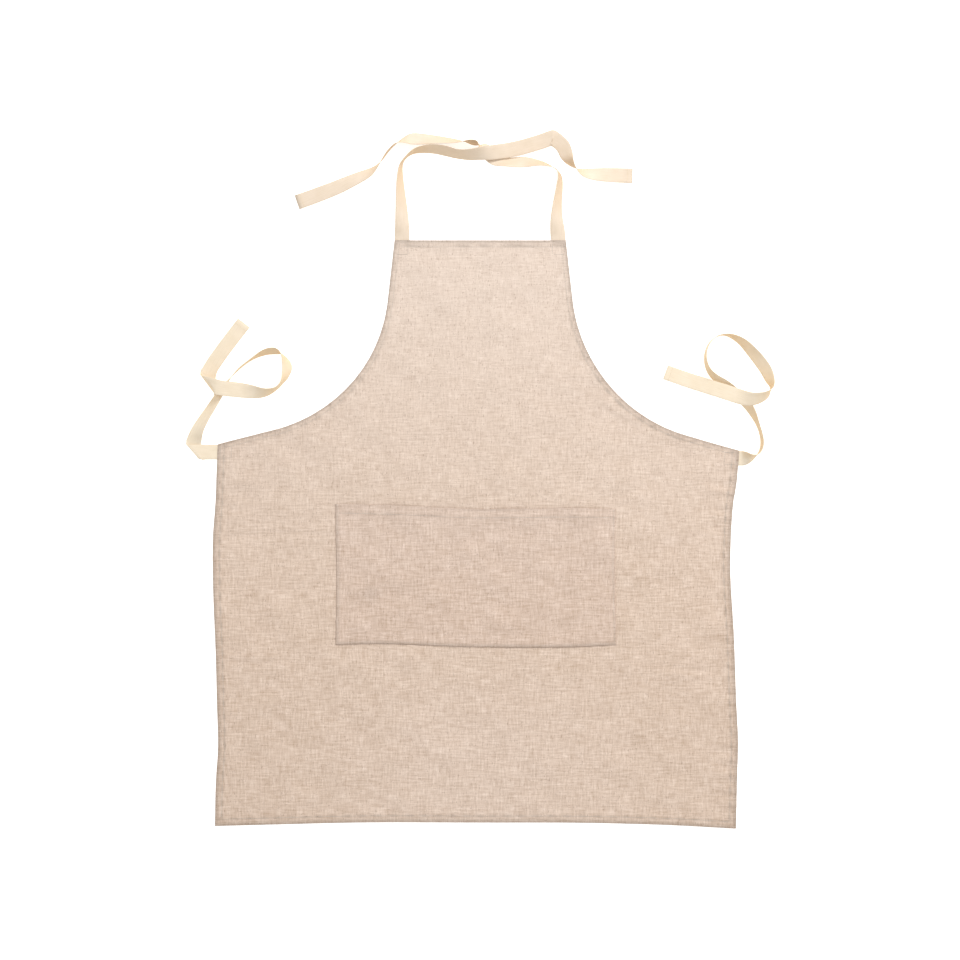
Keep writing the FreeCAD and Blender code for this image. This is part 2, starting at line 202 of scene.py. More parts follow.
def armhole(inset, gap=0.0):
    """Points along the right armhole from the bib to the shoulder, set into the cloth by inset.

    gap is how far the line stops from the armhole's two ends.
    """
    bib_start = BIB_END + DOWN_BIB * gap + INTO_SIDE * inset
    arc_top = ARC_TOP + INTO_SIDE * inset
    arc_low = ARC_LOW + INTO_SHOULDER * inset
    finish = SHOULDER_END - ALONG_SHOULDER * gap + INTO_SHOULDER * inset
    radius = ARMHOLE_RADIUS + inset
    turns = max(2, round(radius * (ARC_LAST - ARC_FIRST) / GRID))
    arc = [ARC_CENTRE + radius * direction(a) for a in np.linspace(ARC_FIRST, ARC_LAST, turns + 1)]
    return np.array(spaced(bib_start, arc_top)[:-1] + arc + spaced(arc_low, finish)[1:])


def spaced(start, end):
    """Points about one grid step apart on a straight line."""
    start, end = np.asarray(start, float), np.asarray(end, float)
    count = max(1, round(float(np.linalg.norm(end - start)) / GRID))
    return [start + (end - start) * i / count for i in range(count + 1)]


def level(reach, y):
    return spaced((-reach, y), (reach, y))


def upright(x, low, high):
    return spaced((x, low), (x, high))


def dot(x, y, origin, way):
    """How far x, y is from origin along way."""
    return (x - origin[0]) * way[0] + (y - origin[1]) * way[1]


def armhole_place(x, y):
    """Distance into the cloth from the armhole's line, and the way along it from the bib's top."""
    x = np.abs(x)
    angle = np.arctan2(y - ARC_CENTRE[1], x - ARC_CENTRE[0]) % (2 * math.pi)
    side = dot(x, y, BIB_END, INTO_SIDE)
    low = dot(x, y, SHOULDER_END, INTO_SHOULDER)
    ring = np.hypot(x - ARC_CENTRE[0], y - ARC_CENTRE[1]) - ARMHOLE_RADIUS
    inside = np.where(angle < ARC_FIRST, side, np.where(angle > ARC_LAST, low, ring))
    inside = np.where(angle < math.pi / 2, np.maximum(side, low), inside)
    upper = dot(x, y, BIB_END, DOWN_BIB)
    first = float(np.linalg.norm(ARC_TOP - BIB_END))
    lower = dot(x, y, ARC_LOW, ALONG_SHOULDER)
    middle = first + ARMHOLE_RADIUS * (angle - ARC_FIRST)
    arc = ARMHOLE_RADIUS * (ARC_LAST - ARC_FIRST)
    along = np.where(angle < ARC_FIRST, upper, np.where(angle > ARC_LAST, first + arc + lower, middle))
    return inside, along


def edge_distance(x, y):
    inside, _ = armhole_place(x, y)
    return np.minimum.reduce([HALF_WIDTH - np.abs(x), y - BOTTOM, TOP - y, inside])


def outline_of(sides):
    """A closed loop of points from the sides that follow each other round it."""
    return np.array([point for side in sides for point in side[:-1]])


def panel_outline():
    """The panel's cut, anticlockwise from the lower left corner."""
    right = armhole(0.0)[::-1]
    left = right[::-1] * (-1, 1)
    return outline_of([level(HALF_WIDTH, BOTTOM), upright(HALF_WIDTH, BOTTOM, SHOULDER), list(right),
                       spaced(BIB_END, BIB_END * (-1, 1)), list(left),
                       upright(-HALF_WIDTH, SHOULDER, BOTTOM)])


def inset_loop(loop, distance):
    """A closed anticlockwise loop, moved inwards by distance."""
    before, after = np.roll(loop, 1, axis=0), np.roll(loop, -1, axis=0)
    arriving, leaving = unit(loop - before), unit(after - loop)
    inward = np.stack([-arriving[:, 1] - leaving[:, 1], arriving[:, 0] + leaving[:, 0]], axis=1)
    inward /= np.maximum(np.linalg.norm(inward, axis=1), 1e-9)[:, None]
    mitre = np.maximum((-arriving[:, 1] * inward[:, 0] + arriving[:, 0] * inward[:, 1]), 0.6)
    return loop + inward * (distance / mitre)[:, None]


# ------------ how the cloth lies

def keyed(places, values, at):
    """A smooth curve through a few values."""
    places, values = np.asarray(places, float), np.asarray(values, float)
    slopes = np.gradient(values, places)
    at = np.clip(at, places[0], places[-1])
    i = np.clip(np.searchsorted(places, at) - 1, 0, len(places) - 2)
    gap = places[i + 1] - places[i]
    t = (at - places[i]) / gap
    return ((2 * t**3 - 3 * t**2 + 1) * values[i] + (t**3 - 2 * t**2 + t) * gap * slopes[i]
            + (3 * t**2 - 2 * t**3) * values[i + 1] + (t**3 - t**2) * gap * slopes[i + 1])


def lay(x, y):
    """Where a point of the flat cut lies: the sides wander, the bib sits a little to the right."""
    height = y - BOTTOM
    left = keyed([0, 60, 100, 165, 220, 330, 385, 430, 508],
                 [-1.4, 0, 2.7, 1.3, 0, -4, -4, -0.7, 1.3], height)
    right = keyed([0, 60, 110, 165, 250, 350, 410, 436, 462, 500],
                  [-1.3, 0, 1.4, -1, -4, -9, -7, -5, -1, 1.5], height)
    share = x / HALF_WIDTH
    skirt = smooth(-0.2, -1.0, share) * left + smooth(0.2, 1.0, share) * right
    bib = 5.0 * smooth(440, 640, height)
    foot = keyed([-350, -276, -156, 0, 166, 261, 350], [-2, 0, 2.8, 2.7, 2, -0.7, -5.5], x)
    shoulder = (3.0 * smooth(-0.35, -1.0, share) - 5.5 * smooth(0.35, 1.0, share)) * smooth(330, 500, height)
    return x + skirt * smooth(640, 500, height) + bib, y + foot * smooth(90, 0, height) + shoulder


WAVES = [(rng.uniform(34, 95), rng.uniform(0, 2 * math.pi), rng.uniform(0, 2 * math.pi)) for _ in range(26)]


def undulation(x, y):
    """Slow random rises and dips, about 1 high."""
    total = 0.0
    for length, heading, phase in WAVES:
        total += np.sin((x * math.cos(heading) + y * math.sin(heading)) * 2 * math.pi / length + phase)
    return total / math.sqrt(len(WAVES) / 2)


# Creases: start and end, half width, depth, and how far the line bows.
CREASES = [
    (-350, -8, -160, -6, 3.0, 0.9, 5), (-350, -172, -225, -168, 3.0, 0.8, -5),
    (350, -186, 225, -176, 3.2, 0.9, 4), (350, 68, 306, 74, 4.0, 1.4, 3), (350, 52, 318, 50, 3.0, 0.9, -3),
    (350, 33, 322, 35, 3.0, 0.9, 2), (350, 6, 310, 12, 4.0, 0.7, 2), (-345, 37, -300, 30, 5.0, 1.0, -6),
    (-335, 48, -290, 52, 5.0, 0.7, 5), (225, 62, 150, 44, 3.0, 0.7, 5), (215, 42, 140, 32, 3.0, 0.6, 4),
    (200, 82, 160, 62, 4.0, 0.5, 3), (166, 168, 215, 142, 5.0, 0.7, -4), (115, 205, 150, 196, 5.0, 0.8, 2),
    (-105, 280, -80, 274, 3.0, 0.6, 2), (350, -290, 318, -294, 4.0, 1.0, 2),
    (350, -318, 322, -314, 4.0, 0.9, -2), (350, -352, 320, -346, 4.0, 1.0, 2),
    (-350, -250, -320, -254, 4.0, 0.7, 2), (-350, -330, -325, -326, 4.0, 0.7, 2),
]


def creases(x, y):
    total = 0.0
    for x0, y0, x1, y1, width, depth, bow in CREASES:
        run = np.array([x1 - x0, y1 - y0], float)
        length = float(np.linalg.norm(run))
        run /= length
        along = dot(x, y, (x0, y0), run)
        aside = -(x - x0) * run[1] + (y - y0) * run[0]
        aside = aside - bow * np.sin(np.clip(along / length, 0, 1) * math.pi)
        here = smooth(-8, 4, along) * smooth(length * 1.15, length * 0.45, along)
        groove = -bell(aside, width) + 0.7 * bell(aside - 2.2 * width, 1.6 * width)
        total += depth * here * groove
    return total


def puckers(x, y):
    """Ripples that the seams pull into the edges."""
    inside, along = armhole_place(x, y)
    below = smooth(SHOULDER + 2, SHOULDER - 12, y)
    right = x > 0
    bursts = np.where(right, 0.25 + 0.9 * bell(y - 50, 32) + 0.75 * bell(y + 325, 48),
                      0.25 + 0.35 * bell(y - 40, 50) + 0.3 * bell(y + 300, 60))
    phase = 0.9 * np.sin(y / 31.0) + np.where(right, 0.0, 2.0)
    reach = bell(HALF_WIDTH - np.abs(x), 17.0)
    total = bursts * reach * below * np.sin(y / 2.9 + phase)
    phase = 1.2 * np.sin(x / 37.0)
    total += 0.20 * bell(y - BOTTOM, 11.0) * np.sin(x / 3.1 + phase)
    total += 0.22 * bell(TOP - y, 11.0) * np.sin(x / 2.7 + phase)
    burst = 0.42 + 0.75 * bell(along - 240, 85.0)
    phase = 1.1 * np.sin(along / 29.0) + np.where(right, 0.0, 1.3)
    armholes = (y > SHOULDER - 30) & (inside < 60)
    total += np.where(armholes, burst * bell(inside, 13.0) * np.sin(along / 3.0 + phase), 0.0)
    return total


def seam_dent(x, y):
    """The cloth is drawn down along each row of stitches."""
    inside, _ = armhole_place(x, y)
    rows = [(HALF_WIDTH - np.abs(x) - SEAM), (y - BOTTOM - SEAM), (TOP - y - SEAM),
            np.where(y > SHOULDER - 20, inside - ARMHOLE_SEAM, 99.0)]
    return sum(-0.5 * bell(row, 1.6) for row in rows)


def over_tabs(x, y):
    """1 where a tie's sewn tab is under the cloth."""
    x = np.abs(x)
    neck = smooth(TOP - 34, TOP - 26, y) * smooth(HALF_BIB - TAPE_WIDTH - 9, HALF_BIB - TAPE_WIDTH - 1, x)
    waist = smooth(HALF_WIDTH - 34, HALF_WIDTH - 26, x) * smooth(SHOULDER - 31, SHOULDER - 23, y)
    return np.maximum(neck, waist)


def cloth_height(x, y):
    """Height of the middle of the panel's cloth above the floor."""
    edge = edge_distance(x, y)
    hem = np.maximum(smooth(HEM_WIDTH + 9, HEM_WIDTH - 1, edge), over_tabs(x, y))
    free = 1.0 - 0.75 * hem
    rest = 0.45 + 0.95 * hem + CLOTH / 2
    wave = 0.45 * undulation(x, y) + 0.5
    lift = rest + free * wave + creases(x, y) * (1 - 0.4 * hem) + puckers(x, y) + seam_dent(x, y)
    least = CLOTH / 2 + 0.1 + (HEM_LAYER + 0.1) * hem
    over = lift - least
    return least + np.where(over > 0.3, over, 0.3 * np.exp(np.minimum(over / 0.3 - 1, 0)))


def pocket_lay(x, y):
    """The pocket's sides bow and its mouth sags between its corners, before the panel's own lay."""
    share = x / POCKET_HALF
    height = (y - POCKET_FOOT) / (POCKET_MOUTH - POCKET_FOOT)
    bow = 2.6 * np.sin(np.clip(height, 0, 1) * math.pi) * smooth(-0.3, -1.0, share)
    sag = keyed([-1, -0.55, 0, 0.35, 0.8, 1], [0.5, -1.5, -6.2, -5.6, -5.0, -5.5], share)
    foot = keyed([-1, -0.8, 0, 0.7, 1], [1.5, 3.0, -1.2, -1.0, 1.5], share)
    return x + bow, y + sag * smooth(0.45, 1.0, height) + foot * smooth(0.4, 0.0, height)


def pocket_height(x, y):
    """Height of the middle of the pocket's cloth."""
    under = cloth_height(x, y) + CLOTH
    sewn = np.minimum.reduce([POCKET_HALF - np.abs(x), y - POCKET_FOOT])
    edge = smooth(TURNING + 8, TURNING - 2, sewn)
    mouth = smooth(34, 2, POCKET_MOUTH - y) * smooth(4, 70, POCKET_HALF - np.abs(x))
    mouth_hem = smooth(MOUTH_HEM + 4, MOUTH_HEM - 1, POCKET_MOUTH - y)
    wave = 0.5 + 0.45 * undulation(x * 1.2 + 40, y * 1.2 - 90)
    ripple = 0.20 * bell(POCKET_HALF - np.abs(x), 9) * np.sin(y / 2.9)
    ripple = ripple + 0.25 * bell(y - POCKET_FOOT, 9) * np.sin(x / 3.3 + np.sin(x / 29))
    gap = 0.3 + 0.85 * edge + 0.55 * mouth_hem * (1 - edge)
    seams = [POCKET_HALF - np.abs(x) - POCKET_SEAM, y - POCKET_FOOT - POCKET_SEAM,
             POCKET_MOUTH - y - MOUTH_HEM + 1.0]
    dents = sum(-0.32 * bell(row, 1.3) for row in seams)
    free = np.maximum(wave, 0.0) * (1 - edge) * (1 - 0.5 * mouth)
    return under + gap + free + 1.3 * mouth + ripple * edge + dents


# ------------ meshes

def new_object(name, vertices, faces, material, node):
    """A mesh object from vertices in millimetres, with every face turned outwards.

    It takes the place of the CAD node, unless node is None.
    """
    mesh = bpy.data.meshes.new(name)
    mesh.from_pydata([tuple(v) for v in np.asarray(vertices, float) * MM], [], faces)
    build = bmesh.new()
    build.from_mesh(mesh)
    bmesh.ops.recalc_face_normals(build, faces=build.faces)
    build.to_mesh(mesh)
    build.free()
    mesh.materials.append(material)
    mesh.polygons.foreach_set("use_smooth", [True] * len(mesh.polygons))
    mesh.update()
    piece = bpy.data.objects.new(name, mesh)
    bpy.context.scene.collection.objects.link(piece)
    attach(piece, "root")
    if node:
        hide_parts(node)
    return piece


def triangles(loop):
    """Triangles that fill a closed loop with an even grid of points."""
    low, high = loop.min(axis=0), loop.max(axis=0)
    columns = np.arange(low[0] + GRID / 2, high[0], GRID)
    rows = np.arange(low[1] + GRID / 2, high[1], GRID)
    grid = np.array([(x, y) for y in rows for x in columns])
    grid = grid[inside_loop(grid, inset_loop(loop, GRID * 0.55))]
    points = [Vector(p) for p in loop] + [Vector(p) for p in grid]
    edges = [(i, (i + 1) % len(loop)) for i in range(len(loop))]
    flat, _, faces, _, _, _ = delaunay_2d_cdt(points, edges, [], 1, 1e-6)
    return np.array([tuple(p) for p in flat]), [tuple(f) for f in faces]


def inside_loop(points, loop):
    x, y = points[:, 0], points[:, 1]
    inside = np.zeros(len(points), bool)
    for (x0, y0), (x1, y1) in zip(loop, np.roll(loop, -1, axis=0)):
        if y0 != y1:
            crosses = (y0 > y) != (y1 > y)
            inside ^= crosses & (x < (x1 - x0) * (y - y0) / (y1 - y0) + x0)
    return inside


def paint_shade_layer(piece, values):
    """Keeps how much painted shade darkens each vertex, from 0 to 1, for the linen's material."""
    layer = piece.data.attributes.new("painted_fold_shade", "FLOAT", "POINT")
    layer.data.foreach_set("value", np.asarray(values, np.float32))


def cloth_piece(name, outline, height, place, drop, shade_at, material, node):
    """A closed sheet of cloth whose edge is folded down round the hem under it.

    outline is the flat cut, height gives the middle of the cloth, place lays a flat point, and drop is how
    far each outline point's fold reaches down. The sheet stands for the CAD node.
    """
    depth = drop / 2
    start = inset_loop(outline, RIM)
    flat, faces = triangles(start)
    edge_count, count = len(outline), len(flat)
    assert np.allclose(flat[:edge_count], start, atol=1e-3)

    def laid(points, z):
        x, y = place(points[:, 0], points[:, 1])
        return np.stack([x, y, z], axis=1)

    half = CLOTH / 2
    middle = height(flat[:, 0], flat[:, 1])
    rim_middle = height(start[:, 0], start[:, 1])
    rings = []
    for angle in np.radians([72, 48, 24, 0, -24, -48, -72, -90]):
        inset = depth * (1 - math.cos(angle)) + (RIM - depth) * max(0.0, abs(math.sin(angle)) - 0.9)
        loop = moved_inwards(outline, inset)
        rings.append(laid(loop, rim_middle + half - depth + depth * math.sin(angle)))
    inner = moved_inwards(outline, np.full(edge_count, 1.05))
    rings.append(laid(inner, rim_middle + half - 2 * depth + LAYER_GAP))
    vertices = np.concatenate([laid(flat, middle + half), laid(flat, middle - half)] + rings)
    all_faces = list(faces) + [tuple(reversed([i + count for i in f])) for f in faces]
    starts = [0] + [2 * count + k * edge_count for k in range(len(rings))] + [count]
    for upper, lower in zip(starts, starts[1:]):
        for i in range(edge_count):
            j = (i + 1) % edge_count
            all_faces.append((upper + j, upper + i, lower + i, lower + j))
    piece = new_object(name, vertices, all_faces, material, node)
    # Painted shade along the folded rims and seams, kept on the vertices for the material.
    surface = shade_at(flat[:, 0], flat[:, 1])
    rim = shade_at(outline[:, 0], outline[:, 1])
    paint_shade_layer(piece, np.concatenate([surface, surface] + [rim] * len(rings)))
    return piece


def moved_inwards(loop, distances):
    unit = inset_loop(loop, 1.0) - loop
    return loop + unit * np.asarray(distances)[:, None]


def turned_edge(name, outer, inner, height, place, thickness, node):
    """A turned strip of cloth between two lines, under the cloth whose middle height gives.

    It is a closed strip: rows of points run along it and go once round its section.
    """
    outer, inner = np.array(outer), np.array(inner)
    across = inner - outer
    away = across / np.maximum(np.linalg.norm(across, axis=1), 1e-6)[:, None]
    count = len(outer)
    walk = np.arange(count) * GRID
    uneven = 0.25 * (np.sin(walk / 17.0) + 0.6 * np.sin(walk / 6.3 + 1))
    rows_top, rows_low = [], []
    for share in np.linspace(0, 1, 7):
        line = outer + across * share + away * (uneven * share)[:, None]
        x, y = place(line[:, 0], line[:, 1])
        z = height(line[:, 0], line[:, 1]) - (CLOTH / 2 + LAYER_GAP)
        rounding = 0.30 * thickness * (smooth(0.12, 0.0, share) + smooth(0.88, 1.0, share))
        rows_top.append(np.stack([x, y, z - rounding], axis=1))
        rows_low.append(np.stack([x, y, np.maximum(z - thickness, LAYER_GAP) + rounding], axis=1))
    ring = rows_top + rows_low[::-1]
    sides = len(ring)
    faces = []
    for k in range(sides):
        m = (k + 1) % sides
        for i in range(count - 1):
            faces.append((k * count + i, k * count + i + 1, m * count + i + 1, m * count + i))
    faces.append(tuple(k * count for k in range(sides)))
    faces.append(tuple(k * count + count - 1 for k in reversed(range(sides))))
    return new_object(name, np.concatenate(ring), faces, linen_hem, node)


def tube_faces(base, rings, sides):
    """Faces of a closed tube, whose rings of vertices follow each other from base on."""
    faces = []
    for s in range(rings - 1):
        for a in range(sides):
            b = (a + 1) % sides
            faces.append((base + s * sides + a, base + s * sides + b,
                          base + (s + 1) * sides + b, base + (s + 1) * sides + a))
    faces.append(tuple(base + a for a in reversed(range(sides))))
    faces.append(tuple(base + (rings - 1) * sides + a for a in range(sides)))
    return faces


def stitches(name, rows, surface, place, node=None, pitch=3.1):
    """Rows of sewing thread: each stitch is a small bead of thread with both ends going into the cloth.

    rows holds lines of flat points; surface gives the height of the face that the thread lies on. Rows on
    the back stand for no CAD node.
    """
    vertices, faces = [], []
    sign = 1.0 if node else -1.0
    shares = np.array((0.0, 0.16, 0.5, 0.84, 1.0))
    swell = (0.25, 0.85, 1.0, 0.85, 0.25)
    depth = (-0.22, -0.02, 0.06, -0.02, -0.22)
    for row in rows:
        row = np.asarray(row, float)
        walk = walk_along(row)
        for k in range(int(walk[-1] / pitch)):
            first = (k + 0.09 + 0.05 * math.sin(k * 2.3)) * pitch
            last = (k + 0.91 + 0.05 * math.sin(k * 1.7 + 1)) * pitch
            at = first + (last - first) * shares
            fx, fy = np.interp(at, walk, row[:, 0]), np.interp(at, walk, row[:, 1])
            x, y = place(fx, fy)
            z = surface(fx, fy)
            along = np.array([x[-1] - x[0], y[-1] - y[0]])
            along /= np.linalg.norm(along)
            aside = np.array([-along[1], along[0]]) * 0.10 * math.sin(k * 1.9)
            faces += tube_faces(len(vertices), len(shares), THREAD_SIDES)
            for s in range(len(shares)):
                cx, cy = x[s] + aside[0], y[s] + aside[1]
                cz = z[s] + sign * (depth[s] + THREAD * 0.55 - 0.05)
                for a in range(THREAD_SIDES):
                    angle = 2 * math.pi * a / THREAD_SIDES
                    out = math.cos(angle) * THREAD * swell[s]
                    up = math.sin(angle) * THREAD * swell[s] * 0.85
                    vertices.append((cx - along[1] * out, cy + along[0] * out, max(cz + up, LAYER_GAP)))
    new_object(name, vertices, faces, linen_thread, node)


# ------------ materials

class Nodes:
    """Short calls for a material's nodes; an input is a number, a colour or another node's output."""

    def __init__(self, name):
        self.material = bpy.data.materials.new(name)
        self.material.use_nodes = True
        self.tree = self.material.node_tree
        self.shader = self.tree.nodes["Principled BSDF"]

    def put(self, socket, value):
        if isinstance(value, bpy.types.NodeSocket):
            self.tree.links.new(value, socket)
        else:
            socket.default_value = value

    def node(self, kind, *values):
        """A new node with values put into its first inputs."""
        made = self.tree.nodes.new("ShaderNode" + kind)
        for socket, value in zip(made.inputs, values):
            self.put(socket, value)
        return made

    def math(self, operation, a, b=0.0):
        made = self.node("Math", a, b)
        made.operation = operation
        return made.outputs[0]

    def add(self, a, b):
        return self.math("ADD", a, b)

    def minus(self, a, b):
        return self.math("SUBTRACT", a, b)

    def times(self, a, b):
        return self.math("MULTIPLY", a, b)

    def size(self, a):
        return self.math("ABSOLUTE", a)

    def wave(self, value, turns):
        return self.math("SINE", self.times(value, turns))

    def vector(self, x, y, z=0.0):
        return self.node("CombineXYZ", x, y, z).outputs[0]

    def split(self, vector):
        return tuple(self.node("SeparateXYZ", vector).outputs)

    def noise(self, vector, scale=1.0, detail=2.0, roughness=0.5):
        made = self.node("TexNoise", vector)
        for name, number in (("Scale", scale), ("Detail", detail), ("Roughness", roughness)):
            made.inputs[name].default_value = number
        return made.outputs["Fac"]

    def grain(self, x, per_x, y, per_y, seed=0.0, detail=3.0, roughness=0.6):
        """Noise that is stretched by its own scale each way."""
        place = self.vector(self.times(x, per_x), self.times(y, per_y), seed)
        return self.noise(place, 1.0, detail, roughness)

    def spread(self, value, low, high, to_low=0.0, to_high=1.0):
        """value taken from the range low to high into the range to_low to to_high, and kept in it."""
        return self.node("MapRange", value, low, high, to_low, to_high).outputs[0]

    def mix(self, share, a, b, blend="MIX"):
        made = self.node("Mix")
        made.data_type = "RGBA"
        made.blend_type = blend
        for place, value in ((0, share), (6, a), (7, b)):
            self.put(made.inputs[place], value)
        return made.outputs[2]

    def bump(self, height, distance, strength):
        made = self.node("Bump")
        for name, value in (("Strength", strength), ("Distance", distance), ("Height", height)):
            self.put(made.inputs[name], value)
        self.put(self.shader.inputs["Normal"], made.outputs[0])

    def set(self, **numbers):
        """Plain numbers on the shader's own sockets."""
        for socket, number in numbers.items():
            self.shader.inputs[socket.replace("_", " ")].default_value = number

    def object_place(self):
        return self.node("TexCoord").outputs["Object"]

    def uv(self):
        made = self.node("UVMap")
        made.uv_map = "tape"
        return made.outputs[0]


def linear(red, green, blue):
    """A colour given as a screen shows it, 0 to 255, in linear light."""
    def one(value):
        value /= 255
        return value / 12.92 if value <= 0.04045 else ((value + 0.055) / 1.055) ** 2.4
    return (one(red), one(green), one(blue), 1.0)


def tinted(base, factors):
    return tuple(part * factor for part, factor in zip(base, factors)) + (1.0,)


def linen(name, base, shift=0.0, darker=0.0):
    """Plain-weave linen: a light warp and a pinkish weft, uneven yarns, slubs, flecks and soft mottling."""
    n = Nodes(name)
    place_x, place_y, _ = n.split(n.object_place())
    x = n.add(place_x, shift)
    y = n.add(place_y, shift * 0.37)
    pitch = 0.00072
    wobble = n.noise(n.vector(x, y), 55.0, 1.0)
    wobble = n.times(n.minus(wobble, 0.5), pitch * 3.0)
    across = n.math("DIVIDE", n.add(x, wobble), pitch)
    along = n.math("DIVIDE", n.add(y, wobble), pitch)
    warp_number, weft_number = n.math("FLOOR", across), n.math("FLOOR", along)
    # Each yarn has a tone of its own that changes slowly along it.
    warp_tone = n.grain(warp_number, 7.31, y, 85.0)
    weft_tone = n.grain(x, 75.0, weft_number, 5.77, 3.0)
    parity = n.math("MODULO", n.add(n.size(warp_number), n.size(weft_number)), 2.0)
    over = n.math("GREATER_THAN", parity, 0.5)
    warp_colour = n.mix(n.spread(warp_tone, 0.3, 0.7), tinted(base, (0.86, 0.83, 0.80)),
                        tinted(base, (1.13, 1.15, 1.17)))
    weft_colour = n.mix(n.spread(weft_tone, 0.3, 0.7), tinted(base, (0.85, 0.80, 0.77)),
                        tinted(base, (1.11, 1.11, 1.11)))
    colour = n.mix(over, weft_colour, warp_colour)
    # Broader streaks of thick and thin yarn, both ways, and patches.
    streak_x = n.grain(x, 48.0, y, 430.0, 5.0, 2.0, 0.55)
    streak_y = n.grain(x, 430.0, y, 52.0, 9.0, 2.0, 0.55)
    streaks = n.add(n.spread(streak_x, 0.25, 0.75, -0.17, 0.17), n.spread(streak_y, 0.25, 0.75, -0.16, 0.16))
    patches = n.noise(n.vector(x, y, 1.7), 38.0, 3.0, 0.6)
    broad = n.noise(n.vector(x, y, 4.1), 9.0, 2.0, 0.5)
    light = n.add(streaks, n.spread(patches, 0.3, 0.7, -0.034, 0.034))
    light = n.add(light, n.spread(broad, 0.3, 0.7, -0.012, 0.012))
    # The skirt's yarns show more than the bib's, and the darker ones are warmer.
    contrast = n.spread(place_y, -0.08, 0.30, 0.90, 0.46)
    light = n.times(light, contrast)
    # Painted light: the colour grows lighter towards the bib, for the light that falls most there; the
    # skirt's middle is a little lighter too.
    painted_top_light = n.spread(place_y, -0.10, 0.32)
    middle = n.times(n.spread(n.size(place_x), 0.05, 0.24, 1.0, 0.0),
                     n.spread(place_y, -0.27, -0.15, 1.0, 0.0))
    channels = []
    for share, low, high, pale in ((0.90, 0.027, 0.082, 0.035), (1.06, -0.002, 0.109, 0.048),
                                   (1.24, -0.034, 0.134, 0.070)):
        part = n.add(n.times(light, share), 1.0 - darker + low)
        part = n.add(part, n.times(middle, pale))
        channels.append(n.add(part, n.times(painted_top_light, high - low)))
    gain = n.mix(1.0, colour, n.vector(*channels), "MULTIPLY")
    # Sparse dark slubs, short along the yarn.
    fleck_x = n.grain(x, 190.0, y, 1100.0, 12.0, 1.0, 0.5)
    fleck_y = n.grain(x, 1100.0, y, 170.0, 17.0, 1.0, 0.5)
    flecks = n.math("MAXIMUM", n.spread(fleck_x, 0.66, 0.75), n.spread(fleck_y, 0.65, 0.73))
    colour = n.mix(n.times(flecks, 0.75), gain, tinted(base, (0.50, 0.42, 0.37)))
    # Painted shade: the colour is darkened along folded rims, seam dents and hem bands, where shade falls.
    shade = n.node("Attribute")
    shade.attribute_name = "painted_fold_shade"
    shade_factor = n.minus(1.0, n.times(shade.outputs["Fac"], 0.3))
    colour = n.mix(1.0, colour, n.vector(shade_factor, shade_factor, shade_factor), "MULTIPLY")
    n.put(n.shader.inputs["Base Color"], colour)
    rounds_x = n.size(n.wave(across, math.pi))
    rounds_y = n.size(n.wave(along, math.pi))
    relief = n.add(n.times(over, n.minus(rounds_x, rounds_y)), rounds_y)
    relief = n.add(relief, n.times(flecks, 0.8))
    relief = n.add(relief, n.times(n.add(streak_x, streak_y), 1.2))
    n.bump(relief, 0.00009, 0.8)
    n.put(n.shader.inputs["Roughness"], n.spread(n.add(warp_tone, weft_tone), 0.7, 1.3, 0.78, 0.92))
    n.set(Specular_IOR_Level=0.25, Sheen_Weight=0.12, Sheen_Roughness=0.5)
    return n.material


def twill(name, base):
    """Cotton twill tape: fine diagonal wales that meet in a herringbone, and firm selvedges."""
    n = Nodes(name)
    u, v, _ = n.split(n.uv())
    width = TAPE_WIDTH * MM
    rib, yarn_pitch = 0.0011, 0.0006
    zig = n.size(n.minus(n.math("MODULO", n.math("DIVIDE", u, width / 4), 2.0), 1.0))
    wale = n.wave(n.add(v, n.times(zig, width / 4)), 2 * math.pi / rib)
    yarn = n.wave(u, 2 * math.pi / yarn_pitch)
    tone = n.grain(u, 900.0, v, 60.0)
    patch = n.noise(n.vector(u, v, 2.0), 60.0, 2.0)
    selvedge = n.spread(n.size(n.minus(u, width / 2)), width * 0.43, width * 0.49)
    dark = tinted(base, (0.90, 0.875, 0.82))
    light = tinted(base, (1.03, 1.03, 1.05))
    share = n.add(n.spread(wale, -1.0, 1.0, 0.25, 0.55), n.spread(tone, 0.3, 0.7, -0.25, 0.25))
    share = n.add(share, n.spread(patch, 0.3, 0.7, -0.08, 0.22))
    colour = n.mix(share, dark, light)
    colour = n.mix(n.times(selvedge, 0.25), colour, dark)
    # Painted shade and light: faces that stand up are tinted darker and warmer, for the shade on them and the
    # light that comes through the tape.
    facing = n.split(n.node("NewGeometry").outputs["Normal"])[2]
    standing = n.spread(n.size(facing), 0.25, 0.82, 1.0, 0.0)
    colour = n.mix(n.times(standing, 0.88), colour, tinted(base, (0.86, 0.73, 0.54)))
    n.put(n.shader.inputs["Base Color"], colour)
    relief = n.add(n.times(wale, 0.6), n.times(yarn, 0.25))
    n.bump(n.add(relief, n.times(tone, 0.8)), 0.00007, 0.8)
    n.put(n.shader.inputs["Roughness"], n.spread(tone, 0.3, 0.7, 0.72, 0.88))
    n.set(Specular_IOR_Level=0.25, Sheen_Weight=0.1, Sheen_Roughness=0.5)
    return n.material


def spun_thread(name, base):
    """Two-ply sewing thread."""
    n = Nodes(name)
    x, y, z = n.split(n.object_place())
    ply = n.wave(n.add(n.add(x, y), z), 2 * math.pi / 0.0007)
    fuzz = n.noise(n.vector(x, y, z), 3500.0, 2.0)
    share = n.add(n.spread(ply, -1.0, 1.0, 0.2, 0.7), n.spread(fuzz, 0.3, 0.7, -0.2, 0.3))
    n.put(n.shader.inputs["Base Color"], n.mix(share, tinted(base, (0.82, 0.82, 0.82)), base))
    n.bump(n.add(ply, fuzz), 0.00005, 0.7)
    n.put(n.shader.inputs["Roughness"], n.spread(fuzz, 0.3, 0.7, 0.6, 0.8))
    n.set(Specular_IOR_Level=0.3)
    return n.material


LINEN = linear(205, 187, 172)
CREAM = linear(219, 203, 184)

